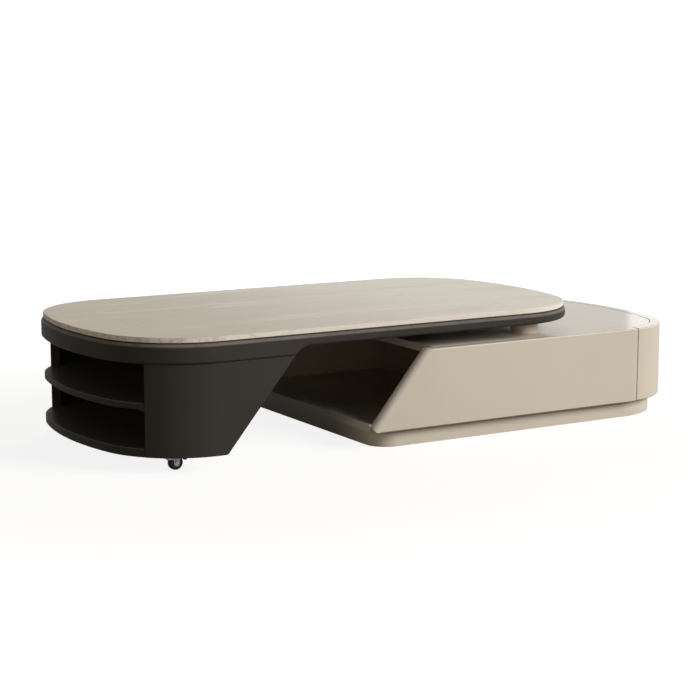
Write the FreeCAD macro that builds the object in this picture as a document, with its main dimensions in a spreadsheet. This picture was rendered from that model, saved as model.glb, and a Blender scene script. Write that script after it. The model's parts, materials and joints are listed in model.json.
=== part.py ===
import FreeCAD, Part
import math
import os
import re
import Sketcher

# Extendable coffee table, shown extended. The upper table slides along +X over the base to close.
# Origin: middle of the extended table on the floor. X along the length, Y to the rear, Z up.

# Driving dimensions in millimetres. The slant is run over rise.
SIZES = {
    # whole table
    "overall_length": 1620,
    "total_height": 308,
    "slant": 0.825,
    "travel": 365,
    "fit_gap": 0.3,
    "shaft_gap": 0.05,
    "skin": 1,
    # stone and rim
    "stone_length": 1300,
    "stone_width": 700,
    "stone_thick": 12,
    "stone_ease": 1.5,
    "end_radius": 785,
    "corner_radius": 213,
    "rim_proud": 5,
    "rim_depth": 28,
    "rim_band": 30,
    "rim_round": 11,
    "rim_under": 7,
    "apron_depth": 48,
    "apron_corner": 9,
    "haunch_radius": 48,
    "board_depth": 26,
    # shelf cabinet
    "cabinet_gap": 38,
    "cabinet_foot": 244,
    "panel": 18,
    "panel_ease": 1.5,
    "end_panel": 15,
    "foot_round": 8,
    "opening_half": 280,
    "shelf": 15,
    "shelf_height": 146,
    "bottom_depth": 20,
    "pin_radius": 2.5,
    "pin_length": 16,
    "pin_left": 130,
    "pin_middle": 235,
    "pin_right": 285,
    "corner_pin_inset": 53,
    "pin_inset": 28,
    # base
    "base_length": 995,
    "base_width": 700,
    "base_height": 232,
    "base_corner": 195,
    "outline_span": 2200,
    "wall": 25,
    "wall_ease": 3.5,
    "end_round": 20,
    "board": 18,
    "top_gap": 1.5,
    "top_setback": 30,
    "nose_top": 20,
    "nose_low": 10,
    "plinth_height": 43,
    "plinth_setback": 26,
    "plinth_toe": 32,
    "plinth_corner": 55,
    "plinth_wall": 18,
    "bar_pitch": 300,
    "drawer_bay": 535,
    "cleat": 18,
    "floor_toe": 8,
    # guides
    "block_x": 322,
    "block_y": 245,
    "block_length": 55,
    "block_width": 60,
    "block_top": 264,
    "block_nose": 27,
    "pad_edge": 4,
    "channel_width": 30,
    "channel_depth": 16,
    "channel_wall": 2,
    "slot_width": 12,
    "shoe_length": 24,
    "shoe_play": 0.5,
    "stop_length": 16,
    "stop_play": 2,
    "stud_radius": 5,
    "stud_cover": 4,
    # drawer
    "drawer_wrap": 196,
    "seam_gap": 3,
    "front_lift": 1,
    "drawer_back": 290,
    "drawer_low": 66,
    "drawer_top": 190,
    "side_thick": 15,
    "drawer_floor": 8,
    "slide_space": 13,
    "slide_length": 300,
    "slide_height": 128,
    "slide_sheet": 1.2,
    "slide_half": 22.5,
    "slide_nest": 3.75,
    "slide_outer": 7,
    "slide_shift": 2.2,
    "slide_middle": 10.6,
    "slide_inner": 8.4,
    # casters
    "caster_x": -669,
    "caster_y": 272,
    "caster_trail": 14,
    "well_radius": 32,
    "well_depth": 8,
    "plate_side": 42,
    "plate_thick": 2.5,
    "plate_hole": 15,
    "race_radius": 13,
    "king_radius": 4,
    "king_head": 6.5,
    "king_head_thick": 1.6,
    "crown_low": 38,
    "crown_thick": 2.2,
    "fork_inside": 15.6,
    "fork_sheet": 2,
    "fork_eye": 4.5,
    "wheel_eye": 7,
    "wheel_radius": 17,
    "wheel_width": 14,
    "tyre_round": 4,
    "hub_radius": 10.5,
    "hub_lip": 2,
    "hub_dish": 2.5,
    "axle_radius": 2.5,
    "axle_head": 4,
    "axle_head_thick": 1.2,
    "pedal_reach": 19,
    "pedal_height": 30,
    "pedal_length": 22,
    "pedal_corner": 4,
    "brake_pin": 1.5,
    "lobe_radius": 5,
    "lobe_x": 2.5,
    "lobe_drop": 3.7,
    "tread_thick": 1.8,
    # screws
    "screw_radius": 1.8,
    "screw_length": 12,
    "plate_screw": 8,
}

TABLE_X = "(stone_length/2 + rim_proud - overall_length/2)"
STONE_LEFT = "(rim_proud - overall_length/2)"
CABINET_FOOT = f"({STONE_LEFT} + cabinet_foot)"
BASE_END = "(overall_length/2)"
BASE_TOE = f"({BASE_END} - base_length)"
SEAM = f"({BASE_END} - drawer_wrap)"
BAY = f"({BASE_END} - drawer_bay)"
RIM_TOP = "(total_height - stone_thick)"
RIM_LOW = f"({RIM_TOP} - rim_depth)"
APRON_LOW = f"({RIM_TOP} - apron_depth)"
BOARD_LOW = f"({RIM_TOP} - board_depth)"
FLOOR_TOP = "(plinth_height + board)"
TOP_LOW = "(base_height - board)"
INSIDE = "(base_width/2 - wall)"
DRAWER_OUT = f"({INSIDE} - slide_space)"
WHEEL_X = "(caster_x + caster_trail)"
PEDAL_X = f"({WHEEL_X} + pedal_reach)"
WELL_TOP = "(cabinet_gap + well_depth)"
PLATE_LOW = f"({WELL_TOP} - plate_thick)"
FORK_WIDE = "(fork_inside + 2*fork_sheet)"
LEAN = "sqrt(1 + slant^2)"
END_RUN = f"(end_panel*{LEAN})"
CHANNEL_START = "(block_x - travel - shoe_length/2 - stop_length - stop_play)"
CHANNEL_END = "(block_x + shoe_length/2 + stop_length + stop_play)"
SIDES = {"front": -1, "rear": 1}

# Tolerances for picking edges
FLAT = 0.01
CLOSE = 0.05
SHORT = 0.5

doc = FreeCAD.newDocument("coffee_table")
sheet = doc.addObject("Spreadsheet::Sheet", "dims")
pieces = []


def fill_sheet():
    for row, (alias, size) in enumerate(SIZES.items(), start=1):
        sheet.set(f"A{row}", alias)
        sheet.set(f"B{row}", str(size))
        sheet.setAlias(f"B{row}", alias)
    doc.recompute()


def formula(text):
    def with_sheet(word):
        return f"dims.{word.group()}" if word.group() in SIZES else word.group()

    return re.sub(r"[a-z_]+", with_sheet, text)


def value(text):
    return float(sheet.evalExpression(formula(text)))


def bind(item, **places):
    for place, text in places.items():
        item.setExpression(place.replace("__", "."), formula(text))
    return item


def move(item, x, y, z):
    return bind(item, Placement__Base__x=x, Placement__Base__y=y, Placement__Base__z=z)


def piece(label, item):
    item.Label = label
    pieces.append(item)
    return item


# Plain shapes

def box(name, x, y, z, length, width, height):
    item = doc.addObject("Part::Box", name)
    bind(item, Length=length, Width=width, Height=height)
    return move(item, x, y, z)


def rod(name, x, y, z, radius, length, axis="z"):
    item = doc.addObject("Part::Cylinder", name)
    turns = {"x": ((0, 1, 0), 90), "y": ((1, 0, 0), -90), "z": ((0, 0, 1), 0)}
    direction, angle = turns[axis]
    item.Placement.Rotation = FreeCAD.Rotation(FreeCAD.Vector(*direction), angle)
    bind(item, Radius=radius, Height=length)
    return move(item, x, y, z)


def group(name, items):
    item = doc.addObject("Part::Compound", name)
    item.Links = list(items)
    return item


def cut(name, base, *tools):
    item = doc.addObject("Part::Cut", name)
    item.Base = base
    item.Tool = tools[0] if len(tools) == 1 else group(f"{name}_tools", tools)
    return item


def fuse(name, *items):
    item = doc.addObject("Part::MultiFuse", name)
    item.Shapes = list(items)
    item.Refine = True
    return item


def common(name, *items):
    item = doc.addObject("Part::MultiCommon", name)
    item.Shapes = list(items)
    return item


def rounded(name, base, radius, wanted):
    doc.recompute()
    size = value(radius)
    picks = [number for number, edge in enumerate(base.Shape.Edges, start=1) if wanted(edge)]
    if not picks:
        raise ValueError(f"no edge to round on {name}")
    item = doc.addObject("Part::Fillet", name)
    item.Base = base
    item.Edges = [(number, size, size) for number in picks]
    return item


# Tests that pick edges

def runs_along(edge, axis):
    spans = {"x": edge.BoundBox.XLength, "y": edge.BoundBox.YLength, "z": edge.BoundBox.ZLength}
    return all((span > SHORT) == (name == axis) for name, span in spans.items())


def near(number, text):
    return abs(number - value(text)) < CLOSE


def middle(edge):
    first, last = edge.ParameterRange
    return edge.valueAt((first + last) / 2)


def level(edge, height):
    return near(edge.BoundBox.ZMin, height) and near(edge.BoundBox.ZMax, height)


# Outlines with bowed ends, and upright profiles

def plane_sketch(body, name, role):
    sketch = body.newObject("Sketcher::SketchObject", name)
    plane = [item for item in body.Origin.OriginFeatures if item.Role == role][0]
    sketch.AttachmentSupport = (plane, [""])
    sketch.MapMode = "FlatFace"
    return sketch


def hold(sketch, size, *constraint):
    number = sketch.addConstraint(Sketcher.Constraint(*constraint, value(size)))
    sketch.setExpression(f"Constraints[{number}]", formula(size))


def arc(x, y, radius, first, last):
    circle = Part.Circle(FreeCAD.Vector(x, y, 0), FreeCAD.Vector(0, 0, 1), radius)
    return Part.ArcOfCircle(circle, first, last)


def line(start, end):
    return Part.LineSegment(FreeCAD.Vector(*start, 0), FreeCAD.Vector(*end, 0))


def bowed_outline(sketch, x, length, width, end, corner):
    middle_x = value(x)
    half = value(width) / 2
    end_radius = value(end)
    radius = value(corner)
    bow_x = value(length) / 2 - end_radius
    corner_y = half - radius
    corner_x = bow_x + math.sqrt((end_radius - radius) ** 2 - corner_y ** 2)
    lean = math.atan2(corner_y, corner_x - bow_x)
    quarter = math.pi / 2
    right = middle_x + corner_x
    left = middle_x - corner_x
    sketch.addGeometry([
        arc(right, -corner_y, radius, -quarter, -lean),
        arc(middle_x + bow_x, 0, end_radius, -lean, lean),
        arc(right, corner_y, radius, lean, quarter),
        line((right, half), (left, half)),
        arc(left, corner_y, radius, quarter, math.pi - lean),
        arc(middle_x - bow_x, 0, end_radius, math.pi - lean, math.pi + lean),
        arc(left, -corner_y, radius, math.pi + lean, 3 * quarter),
        line((left, -half), (right, -half)),
    ], False)
    for number in range(8):
        sketch.addConstraint(Sketcher.Constraint("Tangent", number, 2, (number + 1) % 8, 1))
    for number in (3, 7):
        sketch.addConstraint(Sketcher.Constraint("Horizontal", number))
    for number in (2, 4, 6):
        sketch.addConstraint(Sketcher.Constraint("Equal", 0, number))
    sketch.addConstraint(Sketcher.Constraint("Equal", 1, 5))
    for number in (1, 5):
        sketch.addConstraint(Sketcher.Constraint("PointOnObject", number, 3, -1))
    hold(sketch, corner, "Radius", 0)
    hold(sketch, end, "Radius", 1)
    hold(sketch, f"{x} + ({length})/2 - ({end})", "DistanceX", -1, 1, 1, 3)
    hold(sketch, f"{x} - ({length})/2 + ({end})", "DistanceX", -1, 1, 5, 3)
    hold(sketch, f"({width})/2", "DistanceY", -1, 1, 3, 1)
    hold(sketch, f"-({width})/2", "DistanceY", -1, 1, 7, 1)


def slab(name, x, length, width, end, corner, z, height):
    body = doc.addObject("PartDesign::Body", name)
    sketch = plane_sketch(body, f"{name}_outline", "XY_Plane")
    bowed_outline(sketch, x, length, width, end, corner)
    pad = body.newObject("PartDesign::Pad", f"{name}_pad")
    pad.Profile = sketch
    bind(pad, Length=height)
    bind(body, Placement__Base__z=z)
    return body


def table_slab(name, grow, z, height):
    return slab(name, TABLE_X, f"stone_length + 2*({grow})", f"stone_width + 2*({grow})",
                f"end_radius + ({grow})", f"corner_radius + ({grow})", z, height)


def base_slab(name, inset, z, height):
    return slab(name, f"({BASE_END} - outline_span/2)", f"outline_span - 2*({inset})",
                f"base_width - 2*({inset})", f"end_radius - ({inset})", f"base_corner - ({inset})", z, height)


def profile(name, points, width):
    body = doc.addObject("PartDesign::Body", name)
    sketch = plane_sketch(body, f"{name}_outline", "XZ_Plane")
    places = [(value(x), value(z)) for x, z in points]
    count = len(points)
    for number, start in enumerate(places):
        sketch.addGeometry(line(start, places[(number + 1) % count]), False)
    for number in range(count):
        sketch.addConstraint(Sketcher.Constraint("Coincident", number, 2, (number + 1) % count, 1))
    for number, (x, z) in enumerate(points):
        hold(sketch, x, "DistanceX", -1, 1, number, 1)
        hold(sketch, z, "DistanceY", -1, 1, number, 1)
    pad = body.newObject("PartDesign::Pad", f"{name}_pad")
    pad.Profile = sketch
    pad.Midplane = True
    bind(pad, Length=width)
    return body


def on_cabinet(height):
    return f"({CABINET_FOOT} + slant*({height} - cabinet_gap))"


def on_base(height):
    return f"({BASE_TOE} + slant*({height} - plinth_height))"


def screw(name, x, y, z, axis="z"):
    return rod(name, x, y, z, "screw_radius", "screw_length", axis)


# Upper table

def stone_top():
    body = table_slab("stone_slab", "0", RIM_TOP, "stone_thick")
    doc.recompute()
    pad = body.Tip
    flat = [f"Edge{number}" for number, edge in enumerate(pad.Shape.Edges, start=1)
            if edge.BoundBox.ZLength < FLAT]
    ease = body.newObject("PartDesign::Fillet", "stone_eased")
    ease.Base = (pad, flat)
    bind(ease, Radius="stone_ease")
    piece("stone_top", body)


def rim_frame():
    outer = table_slab("rim_outer", "rim_proud", APRON_LOW, "apron_depth")
    inner = table_slab("rim_inner", "-rim_band", APRON_LOW, "apron_depth")
    core = table_slab("rim_core", "rim_proud - skin", "cabinet_gap", "total_height")
    relief = profile("rim_relief", [
        (on_cabinet("cabinet_gap"), "cabinet_gap"),
        (on_cabinet(RIM_LOW), RIM_LOW),
        ("overall_length", RIM_LOW),
        ("overall_length", "cabinet_gap"),
    ], "2*stone_width")
    blank = cut("rim_blank", outer, inner, relief)
    haunched = rounded("rim_haunched", blank, "haunch_radius",
                       lambda edge: runs_along(edge, "y") and near(middle(edge).x, on_cabinet(RIM_LOW)))
    cornered = rounded("rim_cornered", haunched, "apron_corner",
                       lambda edge: runs_along(edge, "y") and near(middle(edge).x, on_cabinet(APRON_LOW)))

    def on_outside(edge):
        low = edge.BoundBox.ZLength < value("apron_depth - skin")
        return low and not runs_along(edge, "y") and not core.Shape.isInside(middle(edge), FLAT, True)

    crowned = rounded("rim_crowned", cornered, "rim_round",
                      lambda edge: on_outside(edge) and level(edge, RIM_TOP))
    piece("rim_frame", rounded("rim_rounded", crowned, "rim_under",
                               lambda edge: on_outside(edge) and edge.BoundBox.ZMax < value(RIM_LOW) + CLOSE))


def guide_line(name, side, low, width, height, start, end):
    y = f"{SIDES[side]}*block_y - ({width})/2"
    return box(name, start, y, low, f"({end}) - ({start})", width, height)


def top_board():
    blank = table_slab("board_blank", "-rim_band - fit_gap", BOARD_LOW, "board_depth")
    grooves = [guide_line(f"board_groove_{side}", side, BOARD_LOW, "channel_width", "channel_depth",
                          CHANNEL_START, CHANNEL_END) for side in SIDES]
    piece("top_board", cut("board_grooved", blank, *grooves, *channel_screws()))


def channel_screws():
    ends = {"left": f"{CHANNEL_START} + stop_length/2", "right": f"{CHANNEL_END} - stop_length/2",
            "middle": f"({CHANNEL_START} + {CHANNEL_END})/2"}
    low = f"{BOARD_LOW} + channel_depth - channel_wall"
    return [screw(f"channel_screw_{side}_{place}", x, f"{SIDES[side]}*block_y", low)
            for side in SIDES for place, x in ends.items()]


def guide_channel(side):
    name = f"guide_channel_{side}"
    outer = guide_line(f"{name}_outer", side, BOARD_LOW, "channel_width", "channel_depth",
                       CHANNEL_START, CHANNEL_END)
    inner = guide_line(f"{name}_inner", side, f"{BOARD_LOW} + channel_wall",
                       "channel_width - 2*channel_wall", "channel_depth - 2*channel_wall",
                       CHANNEL_START, CHANNEL_END)
    slot = guide_line(f"{name}_slot", side, BOARD_LOW, "slot_width", "channel_wall",
                      CHANNEL_START, CHANNEL_END)
    holes = [item for item in doc.Objects if item.Name.startswith(f"channel_screw_{side}")]
    piece(name, cut(f"{name}_cut", outer, inner, slot, *holes))


def channel_stops():
    starts = {"left": CHANNEL_START, "right": f"({CHANNEL_END} - stop_length)"}
    stops = [guide_line(f"stop_{side}_{place}", side, f"{BOARD_LOW} + channel_wall",
                        "channel_width - 2*channel_wall", "channel_depth - 2*channel_wall",
                        x, f"{x} + stop_length") for side in SIDES for place, x in starts.items()]
    piece("channel_stops", group("channel_stop_set", stops))


def channel_fasteners():
    screws = [item for item in doc.Objects if item.Name.startswith("channel_screw_")]
    piece("channel_screws", group("channel_screw_set", screws))


def cabinet_ceiling():
    blank = table_slab("ceiling_blank", "-rim_band - fit_gap", f"{BOARD_LOW} - panel", "panel")
    keep = box("ceiling_keep", "-overall_length", "-stone_width", "0",
               f"overall_length + {on_cabinet(APRON_LOW)} - apron_corner", "2*stone_width", "total_height")
    piece("cabinet_ceiling", common("ceiling_cut", blank, keep))


def cabinet_keep(name, low, high, back_by):
    return profile(name, [
        ("-overall_length", low),
        (f"{on_cabinet(low)} - ({back_by})", low),
        (f"{on_cabinet(high)} - ({back_by})", high),
        ("-overall_length", high),
    ], "2*stone_width")


def side_panels():
    outer = table_slab("panel_outer", "0", "cabinet_gap", f"{APRON_LOW} - cabinet_gap")
    inner = table_slab("panel_inner", "-panel", "cabinet_gap", f"{APRON_LOW} - cabinet_gap")
    keep = cabinet_keep("panel_keep", "cabinet_gap", APRON_LOW, "0")
    mouth = box("panel_mouth", "-overall_length", "-opening_half", "0",
                f"overall_length + {STONE_LEFT} + cabinet_foot/2", "2*opening_half", "total_height")
    ring = common("panel_slanted", cut("panel_ring", outer, inner, mouth), keep)
    for side, sign in SIDES.items():
        half = box(f"panel_half_{side}", "-overall_length", f"({sign} - 1)*stone_width/2", "0",
                   "2*overall_length", "stone_width", "total_height")
        blank = common(f"side_blank_{side}", ring, half)
        footed = rounded(f"side_footed_{side}", blank, "foot_round",
                         lambda edge: runs_along(edge, "y") and near(middle(edge).x, CABINET_FOOT))
        eased = rounded(f"side_eased_{side}", footed, "panel_ease",
                        lambda edge: runs_along(edge, "z") and near(abs(middle(edge).y), "opening_half"))
        piece(f"cabinet_side_{side}", cut(f"side_drilled_{side}", eased, *shelf_pins(side)))


def shelf_pins(side):
    insets = {"left": "corner_pin_inset", "middle": "pin_inset", "right": "pin_inset"}
    pins = []
    for place, inset in insets.items():
        y = f"{SIDES[side]}*(stone_width/2 - {inset} + pin_length/2) - pin_length/2"
        pins.append(rod(f"shelf_pin_{side}_{place}", f"{STONE_LEFT} + pin_{place}", y,
                        "shelf_height - pin_radius", "pin_radius", "pin_length", "y"))
    return pins


def all_shelf_pins():
    pins = [item for item in doc.Objects if item.Name.startswith("shelf_pin_")]
    piece("shelf_pins", group("shelf_pin_set", pins))


def end_panel():
    points = [
        (f"{on_cabinet('cabinet_gap')} - {END_RUN}", "cabinet_gap"),
        (on_cabinet("cabinet_gap"), "cabinet_gap"),
        (on_cabinet(APRON_LOW), APRON_LOW),
        (f"{on_cabinet(APRON_LOW)} - {END_RUN}", APRON_LOW),
    ]
    board = profile("end_panel_blank", points, "stone_width - 2*panel - 2*fit_gap")
    piece("end_panel", rounded("end_panel_footed", board, "foot_round",
                               lambda edge: runs_along(edge, "y") and near(middle(edge).x, CABINET_FOOT)))


def shelf_board(name, z, height, gap):
    inside = table_slab(f"{name}_inside", f"-panel - {gap}", z, height)
    lip = table_slab(f"{name}_lip", "0", z, height)
    mouth = box(f"{name}_mouth", "-overall_length", "-opening_half + fit_gap", "0",
                f"overall_length + {STONE_LEFT} + cabinet_foot/2", "2*opening_half - 2*fit_gap",
                "total_height")
    keep = cabinet_keep(f"{name}_keep", z, f"{z} + {height}", f"{END_RUN} + {gap}")
    plan = fuse(f"{name}_plan", inside, common(f"{name}_front", lip, mouth))
    blank = common(f"{name}_trimmed", plan, keep)
    core = table_slab(f"{name}_core", "-skin", "0", "total_height")

    def on_lip(edge):
        return edge.BoundBox.ZLength < FLAT and not core.Shape.isInside(middle(edge), FLAT, True)

    return rounded(f"{name}_rounded", blank, "panel_ease", on_lip)


def shelves():
    piece("middle_shelf", shelf_board("shelf_board", "shelf_height", "shelf", "fit_gap"))
    board = shelf_board("bottom_board", "cabinet_gap", "bottom_depth", "0")
    wells = [rod(f"caster_well_{side}", "caster_x", f"{sign}*caster_y", "cabinet_gap", "well_radius",
                 "well_depth") for side, sign in SIDES.items()]
    screws = [item for side in SIDES for item in caster_screws(side)]
    piece("cabinet_bottom", cut("bottom_board_cut", board, *wells, *screws))
    piece("caster_screws", group("caster_screw_set", screws))


# Casters

def caster_screws(side):
    y = f"{SIDES[side]}*caster_y"
    shifts = [(a, b) for a in (-1, 1) for b in (-1, 1)]
    return [rod(f"caster_screw_{side}_{number}", f"caster_x + {a}*plate_hole", f"{y} + {b}*plate_hole",
                PLATE_LOW, "screw_radius", "plate_screw")
            for number, (a, b) in enumerate(shifts)]


def caster_plate(side):
    name = f"caster_plate_{side}"
    y = f"{SIDES[side]}*caster_y"
    plate = box(f"{name}_blank", "caster_x - plate_side/2", f"{y} - plate_side/2", PLATE_LOW,
                "plate_side", "plate_side", "plate_thick")
    soft = rounded(f"{name}_soft", plate, "stud_radius", lambda edge: runs_along(edge, "z"))
    holes = [item for item in doc.Objects if item.Name.startswith(f"caster_screw_{side}")]
    piece(name, cut(f"{name}_drilled", soft, *holes))


def king_pin(side):
    name = f"king_pin_{side}"
    y = f"{SIDES[side]}*caster_y"
    race_low = "(crown_low + crown_thick + fit_gap)"
    head_low = "(crown_low - fit_gap - king_head_thick)"
    stem = rod(f"{name}_stem", "caster_x", y, head_low, "king_radius", f"{PLATE_LOW} - {head_low}")
    race = rod(f"{name}_race", "caster_x", y, race_low, "race_radius", f"{PLATE_LOW} - {race_low}")
    head = rod(f"{name}_head", "caster_x", y, head_low, "king_head", "king_head_thick")
    piece(name, fuse(f"{name}_whole", stem, race, head))


def fork_cheek(name, y):
    upper = box(f"{name}_upper", "caster_x - race_radius", y, "pedal_height - fork_eye",
                "2*race_radius", "fork_sheet", "crown_low + crown_thick - pedal_height + fork_eye")
    lower = box(f"{name}_lower", f"{WHEEL_X} - wheel_eye", y, "wheel_radius", "2*wheel_eye", "fork_sheet",
                "pedal_height - wheel_radius")
    tail = box(f"{name}_tail", "caster_x", y, "pedal_height - fork_eye", f"{PEDAL_X} - caster_x", "fork_sheet",
               "2*fork_eye")
    round_tail = rod(f"{name}_tail_end", PEDAL_X, y, "pedal_height", "fork_eye", "fork_sheet", "y")
    eye = rod(f"{name}_eye", WHEEL_X, y, "wheel_radius", "wheel_eye", "fork_sheet", "y")
    return [upper, lower, tail, round_tail, eye]


def caster_fork(side):
    name = f"caster_fork_{side}"
    y = f"{SIDES[side]}*caster_y"
    crown = box(f"{name}_crown", "caster_x - race_radius", f"{y} - {FORK_WIDE}/2", "crown_low",
                "2*race_radius", FORK_WIDE, "crown_thick")
    disc = rod(f"{name}_disc", "caster_x", y, "crown_low", "race_radius", "crown_thick")
    near_cheek = fork_cheek(f"{name}_near", f"{y} - {FORK_WIDE}/2")
    far_cheek = fork_cheek(f"{name}_far", f"{y} + fork_inside/2")
    whole = fuse(f"{name}_blank", crown, disc, *near_cheek, *far_cheek)
    king = rod(f"{name}_king_hole", "caster_x", y, "0", "king_radius + shaft_gap", "total_height")
    axle = rod(f"{name}_axle_hole", WHEEL_X, f"{y} - {FORK_WIDE}", "wheel_radius", "axle_radius",
               f"2*{FORK_WIDE}", "y")
    pin = rod(f"{name}_pin_hole", PEDAL_X, f"{y} - {FORK_WIDE}", "pedal_height", "brake_pin",
              f"2*{FORK_WIDE}", "y")
    piece(name, cut(f"{name}_drilled", whole, king, axle, pin))


def caster_pins(side):
    y = f"{SIDES[side]}*caster_y"
    axle = rod(f"axle_{side}_bar", WHEEL_X, f"{y} - {FORK_WIDE}/2", "wheel_radius", "axle_radius",
               FORK_WIDE, "y")
    head_starts = (f"{y} + {FORK_WIDE}/2", f"{y} - {FORK_WIDE}/2 - axle_head_thick")
    heads = [rod(f"axle_{side}_head_{number}", WHEEL_X, start, "wheel_radius", "axle_head",
                 "axle_head_thick", "y") for number, start in enumerate(head_starts)]
    piece(f"wheel_axle_{side}", fuse(f"axle_{side}_whole", axle, *heads))
    pin = rod(f"brake_pin_{side}_bar", PEDAL_X, f"{y} - {FORK_WIDE}/2", "pedal_height", "brake_pin",
              FORK_WIDE, "y")
    piece(f"brake_pin_{side}", pin)


def caster_wheel(side):
    y = f"{SIDES[side]}*caster_y - wheel_width/2"
    hub = rod(f"hub_{side}_blank", WHEEL_X, y, "wheel_radius", "hub_radius", "wheel_width", "y")
    dish = rod(f"hub_{side}_dish", WHEEL_X, y, "wheel_radius", "hub_radius - hub_lip", "hub_dish", "y")
    far_dish = rod(f"hub_{side}_far_dish", WHEEL_X, f"{y} + wheel_width - hub_dish", "wheel_radius",
                   "hub_radius - hub_lip", "hub_dish", "y")
    boss = rod(f"hub_{side}_boss", WHEEL_X, y, "wheel_radius", "axle_radius + hub_lip", "wheel_width", "y")
    bore = rod(f"hub_{side}_bore", WHEEL_X, y, "wheel_radius", "axle_radius + shaft_gap", "wheel_width", "y")
    dished = fuse(f"hub_{side}_bossed", cut(f"hub_{side}_dished", hub, dish, far_dish), boss)
    piece(f"wheel_hub_{side}", cut(f"hub_{side}_bored", dished, bore))
    tyre = rod(f"tyre_{side}_blank", WHEEL_X, y, "wheel_radius", "wheel_radius", "wheel_width", "y")
    soft = rounded(f"tyre_{side}_soft", tyre, "tyre_round",
                   lambda edge: edge.BoundBox.YLength < FLAT and edge.BoundBox.ZLength > SHORT)
    seat = rod(f"tyre_{side}_seat", WHEEL_X, y, "wheel_radius", "hub_radius", "wheel_width", "y")
    piece(f"wheel_tyre_{side}", cut(f"tyre_{side}_ring", soft, seat))


def brake_pedal(side):
    name = f"brake_pedal_{side}"
    wide = "(fork_inside - 2*fit_gap)"
    y = f"{SIDES[side]}*caster_y - {wide}/2"
    tube = rod(f"{name}_tube", PEDAL_X, y, "pedal_height", "2*brake_pin", wide, "y")
    tread = box(f"{name}_tread", PEDAL_X, y, "pedal_height", "pedal_length", wide, "tread_thick")
    soft = rounded(f"{name}_soft", tread, "pedal_corner",
                   lambda edge: runs_along(edge, "z") and near(middle(edge).x, f"{PEDAL_X} + pedal_length"))
    lobe = rod(f"{name}_lobe", f"{PEDAL_X} + lobe_x", y, "pedal_height - lobe_drop", "lobe_radius", wide, "y")
    bore = rod(f"{name}_bore", PEDAL_X, y, "pedal_height", "brake_pin + shaft_gap", wide, "y")
    piece(name, cut(f"{name}_bored", fuse(f"{name}_whole", tube, soft, lobe), bore))


# Base

def plinth():
    blanks = []
    for name, inset, toe in (("outer", "plinth_setback", "plinth_toe"),
                             ("inner", "plinth_setback + plinth_wall", "plinth_toe + plinth_wall")):
        plan = base_slab(f"plinth_{name}_plan", inset, "0", "plinth_height")
        keep = box(f"plinth_{name}_keep", f"{BASE_TOE} + {toe}", "-base_width", "0", "base_length",
                   "2*base_width", "plinth_height")
        square = common(f"plinth_{name}_square", plan, keep)
        blanks.append(rounded(f"plinth_{name}_soft", square,
                              f"plinth_corner - ({inset}) + plinth_setback",
                              lambda edge, toe=toe: runs_along(edge, "z")
                              and near(middle(edge).x, f"{BASE_TOE} + {toe}")))
    piece("plinth", cut("plinth_ring", *blanks))


def plinth_bars():
    half = "(base_width/2 - plinth_setback - plinth_wall)"
    bars = [box(f"plinth_bar_{number}", f"{BASE_TOE} + {number}*bar_pitch", f"-{half}", "0",
                "plinth_wall", f"2*{half}", "plinth_height") for number in (1, 2)]
    piece("plinth_bars", group("plinth_bar_set", bars))


def base_floor():
    blank = base_slab("floor_blank", "wall + fit_gap", "plinth_height", "board")
    keep = box("floor_keep", f"{BASE_TOE} + floor_toe", "-base_width", "0", "2*base_length", "2*base_width",
               "total_height")
    piece("base_floor", cut("floor_drilled", common("floor_trimmed", blank, keep), *partition_screws()))


def partition_screws():
    return [screw(f"partition_screw_{number}", f"{BAY} - board/2", f"{number}*base_width/4",
                  f"{FLOOR_TOP} - screw_length/2") for number in (-1, 0, 1)]


def partition():
    blank = box("partition_blank", f"{BAY} - board", f"-{INSIDE}", FLOOR_TOP, "board", f"2*{INSIDE}",
                f"{TOP_LOW} - {FLOOR_TOP}")
    screws = [item for item in doc.Objects if item.Name.startswith("partition_screw_")]
    piece("niche_partition", cut("partition_drilled", blank, *screws))
    piece("partition_screws", group("partition_screw_set", screws))


def end_rounding(side):
    name = f"wall_end_{side}"
    sign = SIDES[side]
    start_x = f"({BASE_TOE} - slant*end_round)"
    start_z = "(plinth_height - end_round)"
    run = f"(base_height - plinth_height + 2*end_round)*{LEAN}"
    corner = box(f"{name}_corner", start_x, f"{sign}*(base_width/2 - end_round/2) - end_round/2", start_z,
                 "end_round", "end_round", run)
    bar = rod(f"{name}_bar", f"{start_x} + end_round/{LEAN}", f"{sign}*(base_width/2 - end_round)",
              f"{start_z} - slant*end_round/{LEAN}", "end_round", run)
    for item in (corner, bar):
        item.Placement.Rotation = FreeCAD.Rotation(FreeCAD.Vector(0, 1, 0), 1)
        bind(item, Placement__Rotation__Angle="atan(slant)")
    return cut(name, corner, bar)


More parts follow.
